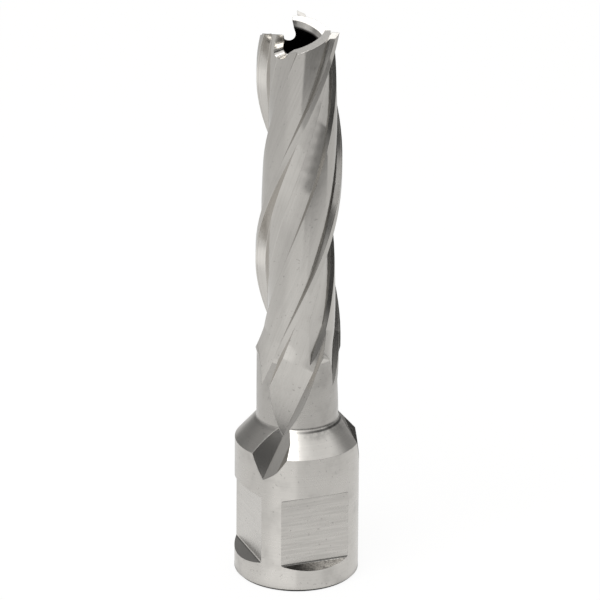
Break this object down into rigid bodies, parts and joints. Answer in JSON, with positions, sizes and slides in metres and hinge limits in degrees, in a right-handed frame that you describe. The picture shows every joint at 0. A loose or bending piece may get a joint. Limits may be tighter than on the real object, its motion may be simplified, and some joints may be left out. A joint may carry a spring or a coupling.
{
  "type": "annular cutter",
  "caption": "Tall hollow milling cutter with helical flutes, a toothed cutting rim, a conical shoulder and a round shank with flats for a quick-fit arbor.",
  "frame": {"origin": "on the tool's axis, at the flat end of the shank", "axes": "+Z along the tool's axis, from the shank to the cutting teeth; -Y and -X are the outward directions of the two drive flats"},
  "size_m": [0.019, 0.019, 0.089],
  "materials": {
    "tool_steel": "ground high-speed steel, bright"
  },
  "bodies": {
    "root": {"annular_cutter": "tool_steel"}
  },
  "joints": []
}
